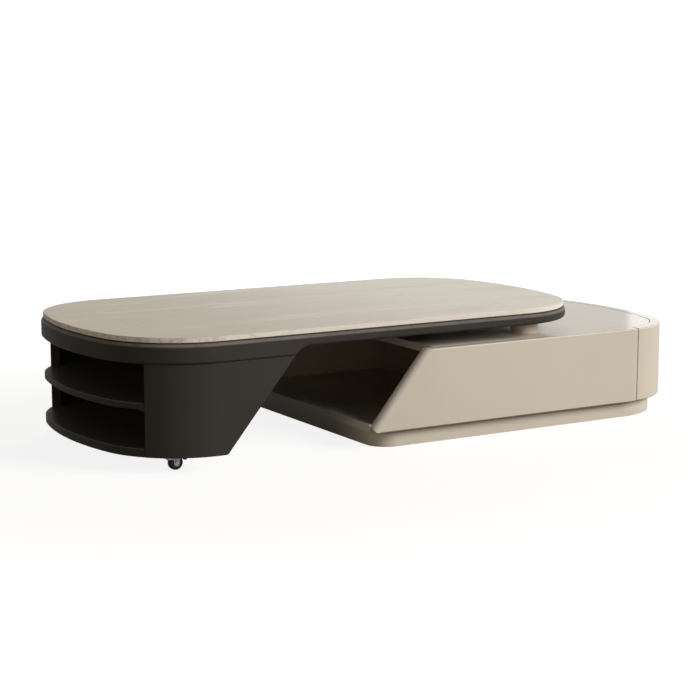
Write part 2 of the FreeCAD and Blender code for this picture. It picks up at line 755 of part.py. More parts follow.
def base_walls():
    outer = base_slab("wall_outer", "0", "plinth_height", "base_height - plinth_height")
    inner = base_slab("wall_inner", "wall", "plinth_height", "base_height - plinth_height")
    core = base_slab("wall_core", "skin", "0", "total_height")
    ring = cut("wall_ring", outer, inner)
    keep = profile("wall_keep", [
        (on_base("plinth_height"), "plinth_height"),
        (on_base("base_height"), "base_height"),
        ("overall_length", "base_height"),
        ("overall_length", "plinth_height"),
    ], "2*base_width")

    def on_outside(edge):
        low = edge.BoundBox.ZLength < value("base_height - plinth_height - skin")
        return low and not runs_along(edge, "y") and not core.Shape.isInside(middle(edge), FLAT, True)

    for side, sign in SIDES.items():
        half = box(f"wall_half_{side}", f"{SEAM} - seam_gap/2 - 2*base_length", f"({sign} - 1)*base_width/2",
                   "0", "2*base_length", "base_width", "total_height")
        blank = common(f"wall_blank_{side}", ring, keep, half)
        nosed = rounded(f"wall_nosed_{side}", blank, "nose_top",
                        lambda edge: runs_along(edge, "y") and near(middle(edge).x, on_base("base_height")))
        toed = rounded(f"wall_toed_{side}", nosed, "nose_low",
                       lambda edge: runs_along(edge, "y") and near(middle(edge).x, BASE_TOE))
        eased = rounded(f"wall_eased_{side}", toed, "wall_ease", on_outside)
        piece(f"base_wall_{side}", cut(f"wall_rounded_{side}", eased, end_rounding(side)))
    end = box("drawer_front_keep", f"{SEAM} + seam_gap/2", "-base_width", "plinth_height + front_lift",
              "overall_length", "2*base_width", "total_height")
    front = common("drawer_front_blank", ring, end)
    piece("drawer_front", rounded("drawer_front_eased", front, "wall_ease", on_outside))


def top_start():
    return f"({on_base('base_height')} + top_setback)"


def base_top():
    blank = base_slab("top_blank", "wall + top_gap", TOP_LOW, "board")
    keep = box("top_keep", top_start(), "-base_width", "0", "2*base_length", "2*base_width", "total_height")
    trimmed = common("top_trimmed", blank, keep)
    eased = rounded("top_eased", trimmed, "panel_ease", lambda edge: level(edge, "base_height"))
    piece("base_top", cut("top_drilled", eased, *studs()))


def top_cleats():
    cleats = [box(f"cleat_{side}", f"{top_start()} + cleat",
                  f"{sign}*({INSIDE} - cleat/2) - cleat/2", f"{TOP_LOW} - cleat",
                  f"{BAY} - board - {top_start()} - cleat", "cleat", "cleat")
              for side, sign in SIDES.items()]
    piece("top_cleats", group("cleat_set", cleats))


# Guides between base and upper table

def studs():
    start = f"({TOP_LOW} + stud_cover)"
    return [rod(f"stud_bar_{side}", "block_x", f"{sign}*block_y", start, "stud_radius",
                f"{BOARD_LOW} + channel_wall + shoe_play - {start}") for side, sign in SIDES.items()]


def support_block(side):
    name = f"support_block_{side}"
    y = f"{SIDES[side]}*block_y"
    blank = box(f"{name}_blank", "block_x - block_length/2", f"{y} - block_width/2", "base_height",
                "block_length", "block_width", "block_top - base_height")
    nosed = rounded(f"{name}_nosed", blank, "block_nose",
                    lambda edge: runs_along(edge, "z") and near(middle(edge).x, "block_x - block_length/2"))
    bar = doc.getObject(f"stud_bar_{side}")
    piece(name, cut(f"{name}_drilled", nosed, bar))
    piece(f"guide_stud_{side}", bar)
    pad = box(f"glide_pad_{side}_blank", "block_x - block_length/2 + 2*pad_edge",
              f"{y} - block_width/2 + pad_edge", "block_top", "block_length - 3*pad_edge",
              "block_width - 2*pad_edge", f"{BOARD_LOW} - fit_gap - block_top")
    soft = rounded(f"glide_pad_{side}_soft", pad, "2*pad_edge", lambda edge: runs_along(edge, "z"))
    piece(f"glide_pad_{side}", cut(f"glide_pad_{side}_drilled", soft, bar))
    wide = "(channel_width - 2*channel_wall - 2*shoe_play)"
    shoe = box(f"guide_shoe_{side}_blank", "block_x - shoe_length/2", f"{y} - {wide}/2",
               f"{BOARD_LOW} + channel_wall + shoe_play", "shoe_length", wide,
               "channel_depth - 2*channel_wall - 2*shoe_play")
    piece(f"guide_shoe_{side}", rounded(f"guide_shoe_{side}_soft", shoe, "pad_edge",
                                        lambda edge: runs_along(edge, "z")))


# Drawer

def drawer_box():
    tall = "(drawer_top - drawer_low)"
    inside = f"({DRAWER_OUT} - side_thick)"
    curve = base_slab("drawer_curve", "wall", "0", "total_height")
    for side, sign in SIDES.items():
        start = f"{sign}*({DRAWER_OUT} - side_thick/2) - side_thick/2"
        board = box(f"drawer_board_{side}", "drawer_back", start, "drawer_low", "base_length", "side_thick",
                    tall)
        piece(f"drawer_side_{side}", common(f"drawer_board_{side}_cut", board, curve))
    back = box("drawer_back_board", "drawer_back", f"-{inside}", "drawer_low", "side_thick", f"2*{inside}",
               tall)
    piece("drawer_back", back)
    floor = box("drawer_floor_board", "drawer_back + side_thick", f"-{inside}", "drawer_low",
                "base_length", f"2*{inside}", "drawer_floor")
    piece("drawer_bottom", common("drawer_floor_cut", floor, curve))


def slide_member(label, side, wall_far, wall_near, tip, half):
    sign = SIDES[side]

    def strip(name, first, last, low, high):
        start = f"{sign}*({first} + {last})/2 - ({first} - {last})/2"
        return box(f"{label}_{side}_{name}", "drawer_back", start, f"slide_height + {low}", "slide_length",
                   f"{first} - {last}", f"{high} - {low}")

    web = strip("web", wall_far, wall_near, f"(-{half})", half)
    near_edge, far_edge = (wall_near, tip) if label != "drawer_slide_inner" else (tip, wall_far)
    flanges = [strip("upper", near_edge, far_edge, f"({half} - slide_sheet)", half),
               strip("lower", near_edge, far_edge, f"(-{half})", f"(slide_sheet - {half})")]
    piece(f"{label}_{side}", fuse(f"{label}_{side}_whole", web, *flanges))


def drawer_slides():
    for side in SIDES:
        slide_member("drawer_slide_outer", side, INSIDE, f"({INSIDE} - slide_sheet)",
                     f"({INSIDE} - slide_outer)", "slide_half")
        slide_member("drawer_slide_middle", side, f"({INSIDE} - slide_shift)",
                     f"({INSIDE} - slide_shift - slide_sheet)", f"({INSIDE} - slide_middle)",
                     "(slide_half - slide_nest)")
        slide_member("drawer_slide_inner", side, f"({DRAWER_OUT} + slide_sheet)", DRAWER_OUT,
                     f"({DRAWER_OUT} + slide_inner)", "(slide_half - 2*slide_nest)")


def build():
    fill_sheet()
    stone_top()
    rim_frame()
    top_board()
    cabinet_ceiling()
    side_panels()
    all_shelf_pins()
    end_panel()
    shelves()
    for side in SIDES:
        guide_channel(side)
    channel_stops()
    channel_fasteners()
    for side in SIDES:
        caster_plate(side)
        king_pin(side)
        caster_fork(side)
        caster_pins(side)
        caster_wheel(side)
        brake_pedal(side)
    plinth()
    plinth_bars()
    base_floor()
    partition()
    base_walls()
    base_top()
    top_cleats()
    for side in SIDES:
        support_block(side)
    drawer_box()
    drawer_slides()
    doc.recompute()


def check():
    for item in doc.Objects:
        if "Invalid" in item.State or "Error" in item.State:
            raise RuntimeError(f"{item.Label} failed: {item.State}")
    for item in pieces:
        if item.Shape.isNull() or not item.Shape.isValid() or not item.Shape.Solids:
            raise RuntimeError(f"{item.Label} has no valid solid")


def export():
    os.makedirs("parts", exist_ok=True)
    for item in pieces:
        item.Shape.exportStep(f"parts/{item.Label}.step")
        size = item.Shape.optimalBoundingBox()
        print(f"{item.Label}: {len(item.Shape.Solids)} solid, {item.Shape.Volume / 1000:.1f} cm3, "
              f"x {size.XMin:.1f} {size.XMax:.1f}, y {size.YMin:.1f} {size.YMax:.1f}, "
              f"z {size.ZMin:.1f} {size.ZMax:.1f}")
    print(len(pieces), "pieces")


build()
check()
export()
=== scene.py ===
import json
from math import atan2, pi

import bmesh
import bpy
from mathutils import Matrix, Vector


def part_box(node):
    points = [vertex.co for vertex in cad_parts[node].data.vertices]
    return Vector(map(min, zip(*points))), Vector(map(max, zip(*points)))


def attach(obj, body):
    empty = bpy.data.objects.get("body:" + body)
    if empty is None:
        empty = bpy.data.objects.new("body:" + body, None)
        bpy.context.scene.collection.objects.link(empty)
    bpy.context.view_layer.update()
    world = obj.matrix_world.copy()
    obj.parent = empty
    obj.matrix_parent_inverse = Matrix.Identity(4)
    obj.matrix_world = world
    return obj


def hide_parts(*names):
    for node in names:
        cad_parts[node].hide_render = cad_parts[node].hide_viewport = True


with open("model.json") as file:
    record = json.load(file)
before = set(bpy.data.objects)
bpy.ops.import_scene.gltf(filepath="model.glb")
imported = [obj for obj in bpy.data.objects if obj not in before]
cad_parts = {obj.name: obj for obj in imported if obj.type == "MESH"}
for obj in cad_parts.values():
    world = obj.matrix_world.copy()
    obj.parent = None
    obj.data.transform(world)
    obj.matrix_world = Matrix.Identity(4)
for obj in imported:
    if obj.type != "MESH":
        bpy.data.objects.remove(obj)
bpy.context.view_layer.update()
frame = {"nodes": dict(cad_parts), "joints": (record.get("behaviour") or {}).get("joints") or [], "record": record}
nodes = frame["nodes"]
mm = 0.001
sides = ("front", "rear")


# node helpers

def addNode(tree, kind, inputs=None, **settings):
    node = tree.nodes.new("ShaderNode" + kind)
    for key, setting in settings.items():
        setattr(node, key, setting)
    for key, given in (inputs or {}).items():
        if isinstance(given, bpy.types.NodeSocket):
            tree.links.new(given, node.inputs[key])
        else:
            node.inputs[key].default_value = given
    return node


def calc(tree, operation, *values):
    return addNode(tree, "Math", dict(enumerate(values)), operation=operation).outputs[0]


def remap(tree, value, low, high, start=0.0, end=1.0):
    inputs = {"Value": value, "From Min": low, "From Max": high, "To Min": start, "To Max": end}
    return addNode(tree, "MapRange", inputs, interpolation_type="SMOOTHSTEP").outputs["Result"]


def mixColour(tree, factor, first, second):
    inputs = {0: factor, 6: first, 7: second}  # the Mix node's factor and its two colours
    return addNode(tree, "Mix", inputs, data_type="RGBA").outputs[2]


def noise(tree, coords, scale, detail=2.0, roughness=0.5):
    inputs = {"Vector": coords, "Scale": scale, "Detail": detail, "Roughness": roughness}
    return addNode(tree, "TexNoise", inputs).outputs[0]


# noise with a scale of its own along each axis
def streaks(tree, coords, scale, detail=2.0, roughness=0.5):
    stretched = addNode(tree, "Mapping", {"Vector": coords, "Scale": scale}).outputs["Vector"]
    return noise(tree, stretched, 1.0, detail, roughness)


def objectCoords(tree):
    return addNode(tree, "TexCoord").outputs["Object"]


# coordinates that wander, so that straight streaks bend
def warped(tree, coords, scale, amount):
    drift = addNode(tree, "TexNoise", {"Vector": coords, "Scale": scale, "Detail": 2.0}).outputs["Color"]
    centred = addNode(tree, "VectorMath", {0: drift, 1: (0.5, 0.5, 0.5)}, operation="SUBTRACT").outputs[0]
    shift = addNode(tree, "VectorMath", {0: centred, "Scale": amount}, operation="SCALE").outputs[0]
    return addNode(tree, "VectorMath", {0: coords, 1: shift}, operation="ADD").outputs[0]


def upwards(tree):
    normal = addNode(tree, "TexCoord").outputs["Normal"]
    return addNode(tree, "SeparateXYZ", {0: normal}).outputs["Z"]


def newMaterial(name, constants):
    material = bpy.data.materials.new(name)
    material.use_nodes = True
    tree = material.node_tree
    sockets = tree.nodes["Principled BSDF"].inputs
    for title, setting in constants.items():
        sockets[title].default_value = setting
    return material, tree, sockets


def plug(tree, sockets, colour, roughness, height, bump):
    tree.links.new(colour, sockets["Base Color"])
    tree.links.new(roughness, sockets["Roughness"])
    bumped = addNode(tree, "Bump", {"Height": height, "Distance": bump})
    tree.links.new(bumped.outputs[0], sockets["Normal"])


# shared effects
# noises are given as scale, detail and roughness, ranges as low and high, then what they turn into

def newGroup(name, inputs):
    tree = bpy.data.node_groups.new(name, "ShaderNodeTree")
    for title, setting in inputs.items():
        kind = "NodeSocketColor" if isinstance(setting, tuple) else "NodeSocketFloat"
        tree.interface.new_socket(title, in_out="INPUT", socket_type=kind).default_value = setting
    for title, kind in (("Colour", "Color"), ("Roughness", "Float"), ("Height", "Float")):
        tree.interface.new_socket(title, in_out="OUTPUT", socket_type="NodeSocket" + kind)
    return tree, tree.nodes.new("NodeGroupInput").outputs


def endGroup(tree, colour, roughness, height):
    result = tree.nodes.new("NodeGroupOutput").inputs
    tree.links.new(colour, result["Colour"])
    tree.links.new(roughness, result["Roughness"])
    tree.links.new(height, result["Height"])
    return tree


lacquerEffect = {
    "inputs": {"Colour": (0.5, 0.5, 0.5, 1.0), "PaintedSheen": (0.6, 0.6, 0.6, 1.0), "Shade": 0.9, "Gloss": 0.25,
               "Spread": 0.08},
    "black": (0.0, 0.0, 0.0, 1.0), "clouds": (3.5, 3.0), "cloudRange": (0.3, 0.7), "peel": (420.0, 2.0),
    "specks": (1600.0, 1.0), "speckRange": (0.72, 0.8), "speckRough": 0.05, "speckHigh": 0.15,
    # the last ranges pick the painted highlight on rounded top edges and break it into patches
    "sheenStart": (0.0, 0.35), "sheenEnd": (0.9, 0.6), "sheenPatches": (24.0, 3.0), "sheenPatchesRange": (0.2, 0.6, 0.6, 1.0),
}


def makeLacquerSkin(effect):
    tree, given = newGroup("lacquerSkin", effect["inputs"])
    coords = objectCoords(tree)
    clouds = noise(tree, coords, *effect["clouds"])
    peel = noise(tree, coords, *effect["peel"])
    specks = remap(tree, noise(tree, coords, *effect["specks"]), *effect["speckRange"])
    shaded = mixColour(tree, given["Shade"], effect["black"], given["Colour"])
    colour = mixColour(tree, remap(tree, clouds, *effect["cloudRange"]), shaded, given["Colour"])
    # a painted highlight: the finish is made paler where a top edge turns over, broken into patches by a noise
    up = upwards(tree)
    turn = calc(tree, "MULTIPLY", remap(tree, up, *effect["sheenStart"]), remap(tree, up, *effect["sheenEnd"]))
    sheenPatches = remap(tree, noise(tree, coords, *effect["sheenPatches"]), *effect["sheenPatchesRange"])
    colour = mixColour(tree, calc(tree, "MULTIPLY", turn, sheenPatches), colour, given["PaintedSheen"])
    rough = calc(tree, "MULTIPLY_ADD", clouds, given["Spread"], given["Gloss"])
    rough = calc(tree, "MULTIPLY_ADD", specks, effect["speckRough"], rough)
    height = calc(tree, "MULTIPLY_ADD", specks, effect["speckHigh"], peel)
    return endGroup(tree, colour, rough, height)


boardEffect = {
    "inputs": {"Dark": (0.03, 0.02, 0.015, 1.0), "Light": (0.08, 0.06, 0.04, 1.0), "Gloss": 0.35},
    "wander": (3.0, 0.04), "bands": ((1.2, 22.0, 22.0), 4.0, 0.6), "bandRange": (0.3, 0.72),
    "pores": ((14.0, 520.0, 520.0), 2.0), "poreRange": (0.5, 0.72), "poreTone": -0.3, "poreRough": 0.12,
}


def makeBoardGrain(effect):
    tree, given = newGroup("boardGrain", effect["inputs"])
    coords = warped(tree, objectCoords(tree), *effect["wander"])
    bands = remap(tree, streaks(tree, coords, *effect["bands"]), *effect["bandRange"])
    pores = remap(tree, streaks(tree, coords, *effect["pores"]), *effect["poreRange"])
    tone = calc(tree, "MULTIPLY_ADD", pores, effect["poreTone"], bands)
    colour = mixColour(tree, tone, given["Dark"], given["Light"])
    rough = calc(tree, "MULTIPLY_ADD", pores, effect["poreRough"], given["Gloss"])
    return endGroup(tree, colour, rough, calc(tree, "SUBTRACT", 1.0, pores))


metalEffect = {
    "inputs": {"Bright": (0.7, 0.7, 0.7, 1.0), "Dull": (0.45, 0.45, 0.45, 1.0), "Gloss": 0.3},
    "lines": ((12.0, 900.0, 900.0), 3.0, 0.6), "lineRough": 0.12, "stains": (60.0, 3.0),
    "stainRange": (0.42, 0.68), "stainRough": 0.15,
}


def makeBrushedLines(effect):
    tree, given = newGroup("brushedLines", effect["inputs"])
    coords = objectCoords(tree)
    lines = streaks(tree, coords, *effect["lines"])
    stains = remap(tree, noise(tree, coords, *effect["stains"]), *effect["stainRange"])
    colour = mixColour(tree, stains, given["Bright"], given["Dull"])
    rough = calc(tree, "MULTIPLY_ADD", stains, effect["stainRough"], given["Gloss"])
    rough = calc(tree, "MULTIPLY_ADD", lines, effect["lineRough"], rough)
    return endGroup(tree, colour, rough, lines)


mouldedEffect = {
    "inputs": {"Colour": (0.1, 0.1, 0.1, 1.0), "Scuffed": (0.2, 0.2, 0.2, 1.0), "Gloss": 0.45},
    "grain": (2600.0, 2.0), "scuffs": (180.0, 4.0, 0.65), "scuffRange": (0.52, 0.7, 0.0, 0.6),
    "scuffRough": 0.2,
}


def makeMouldedSkin(effect):
    tree, given = newGroup("mouldedSkin", effect["inputs"])
    coords = objectCoords(tree)
    scuffs = remap(tree, noise(tree, coords, *effect["scuffs"]), *effect["scuffRange"])
    colour = mixColour(tree, scuffs, given["Colour"], given["Scuffed"])
    rough = calc(tree, "MULTIPLY_ADD", scuffs, effect["scuffRough"], given["Gloss"])
    return endGroup(tree, colour, rough, noise(tree, coords, *effect["grain"]))


lacquerSkin = makeLacquerSkin(lacquerEffect)
boardGrain = makeBoardGrain(boardEffect)
brushedLines = makeBrushedLines(metalEffect)
mouldedSkin = makeMouldedSkin(mouldedEffect)
print("shared effects built")


# finishes

stoneLook = {
    "tan": (0.46, 0.37, 0.275, 1.0), "pale": (0.66, 0.595, 0.5, 1.0), "shade": (0.45, 0.36, 0.265, 1.0),
    "chalk": (0.76, 0.72, 0.645, 1.0), "pit": (0.32, 0.24, 0.16, 1.0), "edge": (0.69, 0.625, 0.54, 1.0),
    "raw": (0.36, 0.27, 0.185, 1.0),
    "flow": (2.4, 0.12), "bands": ((1.6, 14.0, 14.0), 6.0, 0.62), "shadeRange": (0.5, 0.28, 0.0, 0.4),
    "chalkRange": (0.52, 0.75, 0.0, 0.5), "threads": ((5.0, 90.0, 90.0), 3.0),
    "threadRange": (0.55, 0.75, 0.0, 0.22), "pits": ((30.0, 150.0, 150.0), 2.0), "pitRange": (0.66, 0.74),
    # the tan at the -X end and the raw brown edge there are partly painted shade
    "pitShare": 0.35, "drift": (1.3, 0.9), "toneAndShadeRange": (-0.85, 0.3), "rawToneAndShadeRange": (-0.85, -0.25, 0.6, 0.08),
    "edgeRange": (0.75, 0.25), "mottle": (70.0, 4.0, 0.7), "mottleRange": (0.4, 0.65),
    "roughness": 0.32, "bandRough": 0.12, "coarseRough": 0.25, "pitDeep": -1.0, "threadHigh": 0.25,
    "sawnDeep": -0.6, "bump": 0.2 * mm, "constants": {"Specular IOR Level": 0.25},
}


def makeStone(look):
    material, tree, sockets = newMaterial("honed stone", look["constants"])
    coords = objectCoords(tree)
    flow = warped(tree, coords, *look["flow"])
    bands = streaks(tree, flow, *look["bands"])
    threads = streaks(tree, flow, *look["threads"])
    pits = remap(tree, streaks(tree, flow, *look["pits"]), *look["pitRange"])
    # partly the slab's own tone, partly painted shade: the colour runs from a darker tan at the -X end, away from
    # the window lamp, to a greyer cream towards +X
    along = addNode(tree, "SeparateXYZ", {0: warped(tree, coords, *look["drift"])}).outputs["X"]
    colour = mixColour(tree, remap(tree, along, *look["toneAndShadeRange"]), look["tan"], look["pale"])
    colour = mixColour(tree, remap(tree, bands, *look["shadeRange"]), colour, look["shade"])
    colour = mixColour(tree, remap(tree, bands, *look["chalkRange"]), colour, look["chalk"])
    colour = mixColour(tree, remap(tree, threads, *look["threadRange"]), colour, look["shade"])
    colour = mixColour(tree, calc(tree, "MULTIPLY", pits, look["pitShare"]), colour, look["pit"])
    # the sawn edge is coarser and paler than the honed face, and browner at the -X end, where that browning is
    # partly painted shade like the tan
    edge = remap(tree, calc(tree, "ABSOLUTE", upwards(tree)), *look["edgeRange"])
    mottle = remap(tree, noise(tree, coords, *look["mottle"]), *look["mottleRange"])
    sawn = calc(tree, "MULTIPLY", edge, mottle)
    brown = calc(tree, "MULTIPLY", sawn, remap(tree, along, *look["rawToneAndShadeRange"]))
    colour = mixColour(tree, edge, colour, look["edge"])
    colour = mixColour(tree, brown, colour, look["raw"])
    rough = calc(tree, "MULTIPLY_ADD", bands, look["bandRough"], look["roughness"])
    rough = calc(tree, "MULTIPLY_ADD", calc(tree, "MAXIMUM", edge, pits), look["coarseRough"], rough)
    height = calc(tree, "MULTIPLY", threads, look["threadHigh"])
    height = calc(tree, "MULTIPLY_ADD", pits, look["pitDeep"], height)
    height = calc(tree, "MULTIPLY_ADD", sawn, look["sawnDeep"], height)
    plug(tree, sockets, colour, rough, height, look["bump"])
    return material


linenLook = {
    "dark": (0.305, 0.2623, 0.2086, 1.0), "light": (0.491, 0.4397, 0.3663, 1.0),
    "weft": ((40.0, 1400.0, 1400.0), 2.0), "warp": ((1400.0, 1400.0, 40.0), 2.0), "toneRange": (0.38, 0.62),
    "roughRange": (0.3, 0.7, 0.42, 0.58), "bump": 0.08 * mm, "constants": {"Specular IOR Level": 0.4},
}


def makeLinenBoard(look):
    material, tree, sockets = newMaterial("linen board", look["constants"])
    coords = objectCoords(tree)
    threads = calc(tree, "ADD", streaks(tree, coords, *look["weft"]), streaks(tree, coords, *look["warp"]))
    weave = calc(tree, "MULTIPLY", threads, 0.5)
    colour = mixColour(tree, remap(tree, weave, *look["toneRange"]), look["dark"], look["light"])
    plug(tree, sockets, colour, remap(tree, weave, *look["roughRange"]), weave, look["bump"])
    return material


# finishes that are one shared effect with their own values
effectLooks = {
    "dark_lacquer": {
        "name": "dark lacquer", "effect": lacquerSkin, "bump": 0.03 * mm,
        "constants": {"Specular IOR Level": 0.02},
        # the second colour is a painted highlight for the rounded top edges
        "values": {"Colour": (0.047, 0.0412, 0.0365, 1.0), "PaintedSheen": (0.15, 0.135, 0.12, 1.0), "Shade": 0.85,
                   "Gloss": 0.4, "Spread": 0.1}},
    "beige_lacquer": {
        "name": "beige lacquer", "effect": lacquerSkin, "bump": 0.03 * mm,
        "constants": {"Specular IOR Level": 0.05},
        # the second colour is a painted highlight for the rounded top edges
        "values": {"Colour": (0.56, 0.495, 0.4, 1.0), "PaintedSheen": (0.64, 0.58, 0.49, 1.0), "Shade": 0.95,
                   "Gloss": 0.08, "Spread": 0.05}},
    "core_board": {
        "name": "core board", "effect": boardGrain, "bump": 0.06 * mm,
        "constants": {"Specular IOR Level": 0.06},
        "values": {"Dark": (0.036, 0.028, 0.021, 1.0), "Light": (0.075, 0.06, 0.046, 1.0), "Gloss": 0.5}},
    "aluminium": {
        "name": "satin aluminium", "effect": brushedLines, "bump": 0.02 * mm,
        "constants": {"Metallic": 1.0},
        "values": {"Bright": (0.72, 0.72, 0.71, 1.0), "Dull": (0.58, 0.58, 0.57, 1.0), "Gloss": 0.3}},
    "zinc_steel": {
        "name": "zinc plated steel", "effect": brushedLines, "bump": 0.02 * mm,
        "constants": {"Metallic": 1.0},
        "values": {"Bright": (0.42, 0.42, 0.43, 1.0), "Dull": (0.25, 0.25, 0.255, 1.0), "Gloss": 0.28}},
    "hub_plastic": {
        "name": "hub plastic", "effect": mouldedSkin, "bump": 0.02 * mm,
        "constants": {"Specular IOR Level": 0.2},
        "values": {"Colour": (0.16, 0.16, 0.165, 1.0), "Scuffed": (0.24, 0.24, 0.24, 1.0), "Gloss": 0.36}},
    "black_plastic": {
        "name": "black plastic", "effect": mouldedSkin, "bump": 0.03 * mm,
        "constants": {"Specular IOR Level": 0.2},
        "values": {"Colour": (0.014, 0.014, 0.015, 1.0), "Scuffed": (0.04, 0.04, 0.04, 1.0), "Gloss": 0.4}},
    "glide_plastic": {
        "name": "white nylon", "effect": mouldedSkin, "bump": 0.02 * mm,
        "constants": {"Specular IOR Level": 0.2},
        "values": {"Colour": (0.68, 0.67, 0.63, 1.0), "Scuffed": (0.52, 0.5, 0.46, 1.0), "Gloss": 0.42}},
    "black_rubber": {
        "name": "black rubber", "effect": mouldedSkin, "bump": 0.05 * mm,
        "constants": {"Specular IOR Level": 0.2},
        "values": {"Colour": (0.012, 0.012, 0.012, 1.0), "Scuffed": (0.05, 0.048, 0.045, 1.0), "Gloss": 0.6}},
}


def makeFromEffect(look):
    material, tree, sockets = newMaterial(look["name"], look["constants"])
    skin = addNode(tree, "Group", look["values"], node_tree=look["effect"]).outputs
    plug(tree, sockets, skin["Colour"], skin["Roughness"], skin["Height"], look["bump"])
    return material


finishes = {slot: makeFromEffect(look) for slot, look in effectLooks.items()}
finishes["stone"] = makeStone(stoneLook)
finishes["drawer_board"] = makeLinenBoard(linenLook)


def dressNodes():
    for entry in frame["record"]["subparts"]:
        slots = nodes[entry["node"]].data.materials
        slots.clear()
        slots.append(finishes[entry["material_slot"]])


dressNodes()
print("finishes on", len(nodes), "nodes")


# new pieces

pivots = {joint["name"]: Vector(joint["pos_m"]) for joint in frame["joints"] if "pos_m" in joint}
hair = 0.01 * mm  # closer than this is the same place
weld = 0.002 * mm  # vertices closer than this are merged
sharp = 0.6  # radians between two faces, past which their edge is sharp


def newPiece(name, bm, slot, body, *replaced):
    bmesh.ops.remove_doubles(bm, verts=bm.verts, dist=weld)
    for face in bm.faces:
        face.smooth = True
    for edge in bm.edges:
        edge.smooth = not isSharp(edge)
    mesh = bpy.data.meshes.new(name)
    bm.to_mesh(mesh)
    bm.free()
    mesh.materials.append(finishes[slot])
    piece = bpy.data.objects.new(name, mesh)
    piece.modifiers.new("flatFaces", "WEIGHTED_NORMAL").keep_sharp = True
    bpy.context.scene.collection.objects.link(piece)
    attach(piece, body)
    if replaced:
        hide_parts(*replaced)


def isSharp(edge):
    return len(edge.link_faces) == 2 and edge.calc_face_angle() > sharp


def bevelEdges(bm, edges, offset, segments):
    bmesh.ops.bevel(bm, geom=edges, offset=offset, offset_type="OFFSET", segments=segments, profile=0.5,
                    affect="EDGES", clamp_overlap=True, material=-1)


def easeEdges(bm, shape):
    bevelEdges(bm, [edge for edge in bm.edges if isSharp(edge)], shape["ease"], shape["easeSteps"])


def everything(bm):
    return bm.verts[:] + bm.edges[:] + bm.faces[:]


def halfSize(node):
    low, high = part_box(node)
    return (high - low) / 2


def outFrom(point, axle):
    return Vector((point.x - axle.x, point.z - axle.z)).length


def edgesWhere(bm, wanted):
    return [edge for edge in bm.edges if all(wanted(vert.co) for vert in edge.verts)]


# turns a closed outline of (radius, across) about an axle that runs along Y
def spinOutline(outline, axle, steps):
    bm = bmesh.new()
    ring = [bm.verts.new((axle.x + radius, axle.y + across, axle.z)) for radius, across in outline]
    edges = [bm.edges.new(pair) for pair in zip(ring, ring[1:] + ring[:1])]
    bmesh.ops.spin(bm, geom=ring + edges, cent=axle, axis=(0.0, 1.0, 0.0), angle=2 * pi, steps=steps,
                   use_merge=True)
    bmesh.ops.recalc_face_normals(bm, faces=bm.faces)
    return bm


# pushes a flat outline of (x, z, corner radius) in mm through along Y, and rounds its corners
def pushOutline(outline, start, end, cornerSteps):
    bm = bmesh.new()
    face = bm.faces.new([bm.verts.new(start + Vector((x, 0.0, z)) * mm) for x, z, radius in outline])
    pushed = bmesh.ops.extrude_face_region(bm, geom=[face], use_keep_orig=True)["geom"]
    moved = [item for item in pushed if isinstance(item, bmesh.types.BMVert)]
    bmesh.ops.translate(bm, verts=moved, vec=(0.0, end - start.y, 0.0))
    bmesh.ops.recalc_face_normals(bm, faces=bm.faces)
    for x, z, radius in outline:
        corner = start + Vector((x, 0.0, z)) * mm
        if radius:
            edges = edgesWhere(bm, lambda co: outFrom(co, corner) < hair)
            bevelEdges(bm, edges, radius * mm, cornerSteps)
    return bm


tyreShape = {
    "shoulder": 4.0 * mm, "shoulderSteps": 6, "grooves": (-1.6 * mm, 1.6 * mm), "grooveWide": 0.9 * mm,
    "grooveDeep": 0.6 * mm, "steps": 72,
}


def makeTyre(side, shape):
    axle = pivots[f"wheel_spin_{side}"]
    half = halfSize(f"wheel_tyre_{side}")
    radius, width, seat = half.z, half.y, halfSize(f"wheel_hub_{side}").z
    outline = [(seat, -width), (radius, -width)]
    for place in shape["grooves"]:
        outline.append((radius, place - shape["grooveWide"] / 2))
        outline.append((radius - shape["grooveDeep"], place))
        outline.append((radius, place + shape["grooveWide"] / 2))
    bm = spinOutline(outline + [(radius, width), (seat, width)], axle, shape["steps"])
    shoulders = edgesWhere(bm, lambda co: abs(abs(co.y - axle.y) - width) < hair
                           and abs(outFrom(co, axle) - radius) < hair)
    bevelEdges(bm, shoulders, shape["shoulder"], shape["shoulderSteps"])
    newPiece(f"grooved_tyre_{side}", bm, "black_rubber", f"wheel_{side}", f"wheel_tyre_{side}")


hubShape = {
    "bore": 2.55 * mm, "boss": 4.5 * mm, "lip": 2.0 * mm, "dish": 2.5 * mm, "spokes": 6, "rib": 0.5 * mm,
    "pocket": 2.4 * mm, "draft": 0.15 * mm, "ease": 0.15 * mm, "easeSteps": 2, "steps": 72,
}


def makeHub(side, shape):
    axle = pivots[f"wheel_spin_{side}"]
    half = halfSize(f"wheel_hub_{side}")
    bore, boss, lip = shape["bore"], shape["boss"], half.z - shape["lip"]
    web = half.y - shape["dish"]
    outline = [(bore, half.y), (boss, half.y), (boss, web), (lip, web), (lip, half.y), (half.z, half.y)]
    bm = spinOutline(outline + [(out, -across) for out, across in reversed(outline)], axle, shape["steps"])
    # the pockets between the spokes, on both faces
    pockets = {}
    for face in bm.faces:
        place = face.calc_center_median() - axle
        if abs(abs(place.y) - web) < hair:
            turn = (atan2(place.z, place.x) / (2 * pi)) % 1
            pockets.setdefault((place.y > 0, int(turn * shape["spokes"])), []).append(face)
    for faces in pockets.values():
        bmesh.ops.inset_region(bm, faces=faces, thickness=shape["rib"], use_even_offset=True)
        bmesh.ops.inset_region(bm, faces=faces, thickness=shape["draft"], depth=-shape["pocket"],
                               use_even_offset=True)
    easeEdges(bm, shape)
    newPiece(f"spoked_hub_{side}", bm, "hub_plastic", f"wheel_{side}", f"wheel_hub_{side}")


